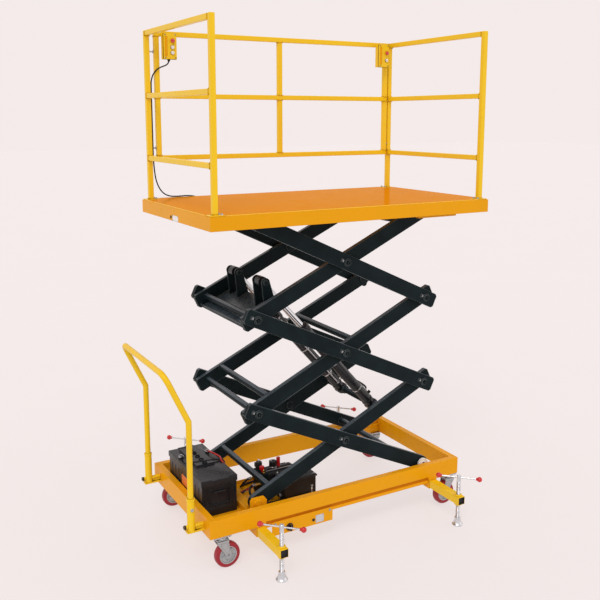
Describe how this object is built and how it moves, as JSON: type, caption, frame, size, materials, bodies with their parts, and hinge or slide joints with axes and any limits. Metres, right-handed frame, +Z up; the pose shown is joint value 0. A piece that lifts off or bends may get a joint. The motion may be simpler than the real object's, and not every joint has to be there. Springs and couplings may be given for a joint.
{
  "type": "scissor lift table",
  "caption": "Mobile battery scissor lift table with three scissor stages, guard rail on three sides, push handle, swivel castors and screw-jack outriggers.",
  "frame": {"origin": "on the floor under the centre of the whole machine's plan outline", "axes": "+X from the push handle to the far end, -Y towards the open loading side, +Z up"},
  "size_m": [2.08, 1.5974, 3],
  "materials": {
    "orange_paint": "gloss orange-yellow powder coat",
    "yellow_paint": "gloss yellow powder coat",
    "dark_paint": "satin dark green-black paint",
    "black_paint": "satin black paint",
    "black_plastic": "moulded black plastic",
    "chrome_rod": "hard chrome",
    "zinc_steel": "zinc plated steel",
    "red_tyre": "red polyurethane tread",
    "red_plastic": "red plastic",
    "white_plastic": "white plastic",
    "cable_sheath": "dark rubber sheath"
  },
  "bodies": {
    "base": {"base_side_beams": "orange_paint", "base_cross_members": "orange_paint", "roller_tracks": "orange_paint", "pivot_brackets": "orange_paint", "outrigger_sleeves": "orange_paint", "switch_panel": "orange_paint", "handle_sockets": "yellow_paint", "push_handle": "yellow_paint", "battery_box": "black_plastic", "battery_lid": "black_plastic", "hydraulic_tank": "black_paint", "pump_motor": "black_paint", "valve_block": "black_paint", "castor_plates": "zinc_steel"},
    "power_switch": {"power_switch": "black_plastic"},
    "lowering_knob": {"lowering_knob": "red_plastic"},
    "castor_front_left": {"castor_fork_front_left": "zinc_steel"},
    "wheel_front_left": {"castor_wheel_front_left": "red_tyre"},
    "outrigger_front_left": {"outrigger_arm_front_left": "yellow_paint"},
    "foot_front_left": {"jack_foot_front_left": "zinc_steel"},
    "screw_front_left": {"jack_screw_front_left": "zinc_steel"},
    "castor_front_right": {"castor_fork_front_right": "zinc_steel"},
    "wheel_front_right": {"castor_wheel_front_right": "red_tyre"},
    "outrigger_front_right": {"outrigger_arm_front_right": "yellow_paint"},
    "foot_front_right": {"jack_foot_front_right": "zinc_steel"},
    "screw_front_right": {"jack_screw_front_right": "zinc_steel"},
    "castor_rear_left": {"castor_fork_rear_left": "zinc_steel"},
    "wheel_rear_left": {"castor_wheel_rear_left": "red_tyre"},
    "outrigger_rear_left": {"outrigger_arm_rear_left": "yellow_paint"},
    "foot_rear_left": {"jack_foot_rear_left": "zinc_steel"},
    "screw_rear_left": {"jack_screw_rear_left": "zinc_steel"},
    "castor_rear_right": {"castor_fork_rear_right": "zinc_steel"},
    "wheel_rear_right": {"castor_wheel_rear_right": "red_tyre"},
    "outrigger_rear_right": {"outrigger_arm_rear_right": "yellow_paint"},
    "foot_rear_right": {"jack_foot_rear_right": "zinc_steel"},
    "screw_rear_right": {"jack_screw_rear_right": "zinc_steel"},
    "inner_arms_1": {"inner_arms_1": "dark_paint"},
    "outer_arms_1": {"outer_arms_1": "dark_paint"},
    "inner_arms_2": {"inner_arms_2": "dark_paint"},
    "outer_arms_2": {"outer_arms_2": "dark_paint"},
    "inner_arms_3": {"inner_arms_3": "dark_paint"},
    "outer_arms_3": {"outer_arms_3": "dark_paint"},
    "lower_rollers": {"lower_rollers": "zinc_steel"},
    "upper_rollers": {"upper_rollers": "zinc_steel"},
    "barrels": {"cylinder_barrels": "black_paint"},
    "rods": {"cylinder_rods": "chrome_rod"},
    "deck": {"deck_plate": "orange_paint", "deck_frame": "orange_paint", "rail_left": "yellow_paint", "rail_back": "yellow_paint", "rail_right": "yellow_paint", "rail_bolts": "zinc_steel", "control_boxes": "yellow_paint", "control_cable": "cable_sheath"},
    "stop_button_left": {"stop_button_left": "red_plastic"},
    "up_button_left": {"up_button_left": "white_plastic"},
    "down_button_left": {"down_button_left": "white_plastic"},
    "stop_button_right": {"stop_button_right": "red_plastic"},
    "up_button_right": {"up_button_right": "white_plastic"}
  },
  "joints": [
    {"name": "lift", "type": "hinge", "parent": "base", "child": "inner_arms_1", "pos_m": [-0.483, 0, 0.298], "axis": [0, -1, 0], "range_deg": [-19.5, 0]},
    {"name": "centre_pivot_1", "type": "hinge", "parent": "inner_arms_1", "child": "outer_arms_1", "pos_m": [0.10157, 0, 0.57059], "axis": [0, -1, 0], "range_deg": [0, 39.04]},
    {"name": "left_pivot_1", "type": "hinge", "parent": "outer_arms_1", "child": "inner_arms_2", "pos_m": [-0.483, 0, 0.84318], "axis": [0, -1, 0], "range_deg": [-39.04, 0]},
    {"name": "centre_pivot_2", "type": "hinge", "parent": "inner_arms_2", "child": "outer_arms_2", "pos_m": [0.10157, 0, 1.11577], "axis": [0, -1, 0], "range_deg": [0, 39.04]},
    {"name": "left_pivot_2", "type": "hinge", "parent": "outer_arms_2", "child": "inner_arms_3", "pos_m": [-0.483, 0, 1.38836], "axis": [0, -1, 0], "range_deg": [-39.04, 0]},
    {"name": "centre_pivot_3", "type": "hinge", "parent": "inner_arms_3", "child": "outer_arms_3", "pos_m": [0.10157, 0, 1.66094], "axis": [0, -1, 0], "range_deg": [0, 39.04]},
    {"name": "deck_pivot", "type": "hinge", "parent": "outer_arms_3", "child": "deck", "pos_m": [-0.483, 0, 1.93353], "axis": [0, -1, 0], "range_deg": [-19.52, 0]},
    {"name": "cylinder_tilt", "type": "hinge", "parent": "inner_arms_1", "child": "barrels", "pos_m": [0.42451, 0, 0.68256], "axis": [0, -1, 0], "range_deg": [0, 45.75]},
    {"name": "cylinder_stroke", "type": "slide", "parent": "barrels", "child": "rods", "axis": [-0.6652, 0, 0.7466], "range_m": [-0.31734, 0]},
    {"name": "lower_roller_spin", "type": "hinge", "parent": "outer_arms_1", "child": "lower_rollers", "pos_m": [0.68614, 0, 0.298], "axis": [0, 1, 0], "continuous": true},
    {"name": "upper_roller_spin", "type": "hinge", "parent": "inner_arms_3", "child": "upper_rollers", "pos_m": [0.68614, 0, 1.93353], "axis": [0, 1, 0], "continuous": true},
    {"name": "main_switch_turn", "type": "hinge", "parent": "base", "child": "power_switch", "pos_m": [-0.318, -0.4485, 0.146], "axis": [0, -1, 0], "range_deg": [0, 90]},
    {"name": "lowering_knob_turn", "type": "hinge", "parent": "base", "child": "lowering_knob", "pos_m": [-0.326, -0.108, 0.37], "axis": [0, 0, 1], "range_deg": [0, 180]},
    {"name": "swivel_front_left", "type": "hinge", "parent": "base", "child": "castor_front_left", "pos_m": [-0.741, -0.419, 0.19], "axis": [0, 0, 1], "continuous": true},
    {"name": "wheel_spin_front_left", "type": "hinge", "parent": "castor_front_left", "child": "wheel_front_left", "pos_m": [-0.707, -0.419, 0.075], "axis": [0, 1, 0], "continuous": true},
    {"name": "outrigger_slide_front_left", "type": "slide", "parent": "base", "child": "outrigger_front_left", "axis": [0, 1, 0], "range_m": [0, 0.09]},
    {"name": "jack_lift_front_left", "type": "slide", "parent": "outrigger_front_left", "child": "foot_front_left", "axis": [0, 0, 1], "range_m": [0, 0.0601]},
    {"name": "jack_turn_front_left", "type": "hinge", "parent": "foot_front_left", "child": "screw_front_left", "pos_m": [-0.505, -0.695, 0.022], "axis": [0, 0, 1], "range_deg": [0, 4320]},
    {"name": "swivel_front_right", "type": "hinge", "parent": "base", "child": "castor_front_right", "pos_m": [0.878, -0.419, 0.19], "axis": [0, 0, 1], "continuous": true},
    {"name": "wheel_spin_front_right", "type": "hinge", "parent": "castor_front_right", "child": "wheel_front_right", "pos_m": [0.844, -0.419, 0.075], "axis": [0, 1, 0], "continuous": true},
    {"name": "outrigger_slide_front_right", "type": "slide", "parent": "base", "child": "outrigger_front_right", "axis": [0, 1, 0], "range_m": [0, 0.09]},
    {"name": "jack_lift_front_right", "type": "slide", "parent": "outrigger_front_right", "child": "foot_front_right", "axis": [0, 0, 1], "range_m": [0, 0.0601]},
    {"name": "jack_turn_front_right", "type": "hinge", "parent": "foot_front_right", "child": "screw_front_right", "pos_m": [0.733, -0.695, 0.022], "axis": [0, 0, 1], "range_deg": [0, 4320]},
    {"name": "swivel_rear_left", "type": "hinge", "parent": "base", "child": "castor_rear_left", "pos_m": [-0.741, 0.419, 0.19], "axis": [0, 0, 1], "continuous": true},
    {"name": "wheel_spin_rear_left", "type": "hinge", "parent": "castor_rear_left", "child": "wheel_rear_left", "pos_m": [-0.707, 0.419, 0.075], "axis": [0, 1, 0], "continuous": true},
    {"name": "outrigger_slide_rear_left", "type": "slide", "parent": "base", "child": "outrigger_rear_left", "axis": [0, -1, 0], "range_m": [0, 0.09]},
    {"name": "jack_lift_rear_left", "type": "slide", "parent": "outrigger_rear_left", "child": "foot_rear_left", "axis": [0, 0, 1], "range_m": [0, 0.0601]},
    {"name": "jack_turn_rear_left", "type": "hinge", "parent": "foot_rear_left", "child": "screw_rear_left", "pos_m": [-0.505, 0.695, 0.022], "axis": [0, 0, 1], "range_deg": [0, 4320]},
    {"name": "swivel_rear_right", "type": "hinge", "parent": "base", "child": "castor_rear_right", "pos_m": [0.878, 0.419, 0.19], "axis": [0, 0, 1], "continuous": true},
    {"name": "wheel_spin_rear_right", "type": "hinge", "parent": "castor_rear_right", "child": "wheel_rear_right", "pos_m": [0.844, 0.419, 0.075], "axis": [0, 1, 0], "continuous": true},
    {"name": "outrigger_slide_rear_right", "type": "slide", "parent": "base", "child": "outrigger_rear_right", "axis": [0, -1, 0], "range_m": [0, 0.09]},
    {"name": "jack_lift_rear_right", "type": "slide", "parent": "outrigger_rear_right", "child": "foot_rear_right", "axis": [0, 0, 1], "range_m": [0, 0.0601]},
    {"name": "jack_turn_rear_right", "type": "hinge", "parent": "foot_rear_right", "child": "screw_rear_right", "pos_m": [0.733, 0.695, 0.022], "axis": [0, 0, 1], "range_deg": [0, 4320]},
    {"name": "press_stop_button_left", "type": "slide", "parent": "deck", "child": "stop_button_left", "axis": [0, 1, 0], "range_m": [0, 0.004], "stiffness_N_per_m": 400, "springref_m": -0.004},
    {"name": "press_up_button_left", "type": "slide", "parent": "deck", "child": "up_button_left", "axis": [0, 1, 0], "range_m": [0, 0.003], "stiffness_N_per_m": 400, "springref_m": -0.004},
    {"name": "press_down_button_left", "type": "slide", "parent": "deck", "child": "down_button_left", "axis": [0, 1, 0], "range_m": [0, 0.003], "stiffness_N_per_m": 400, "springref_m": -0.004},
    {"name": "press_stop_button_right", "type": "slide", "parent": "deck", "child": "stop_button_right", "axis": [0, 1, 0], "range_m": [0, 0.004], "stiffness_N_per_m": 400, "springref_m": -0.004},
    {"name": "press_up_button_right", "type": "slide", "parent": "deck", "child": "up_button_right", "axis": [0, 1, 0], "range_m": [0, 0.003], "stiffness_N_per_m": 400, "springref_m": -0.004}
  ],
  "couplings": [
    {"joint": "centre_pivot_1", "follows": "lift", "ratio": -2},
    {"joint": "left_pivot_1", "follows": "lift", "ratio": 2},
    {"joint": "centre_pivot_2", "follows": "lift", "ratio": -2},
    {"joint": "left_pivot_2", "follows": "lift", "ratio": 2},
    {"joint": "centre_pivot_3", "follows": "lift", "ratio": -2},
    {"joint": "deck_pivot", "follows": "lift", "ratio": 1},
    {"joint": "cylinder_tilt", "follows": "lift", "ratio": -2.3439},
    {"joint": "cylinder_stroke", "follows": "lift", "m_per_rad": 0.9315},
    {"joint": "jack_lift_front_left", "follows": "jack_turn_front_left", "m_per_rad": 0.00079577},
    {"joint": "jack_lift_front_right", "follows": "jack_turn_front_right", "m_per_rad": 0.00079577},
    {"joint": "jack_lift_rear_left", "follows": "jack_turn_rear_left", "m_per_rad": 0.00079577},
    {"joint": "jack_lift_rear_right", "follows": "jack_turn_rear_right", "m_per_rad": 0.00079577}
  ]
}
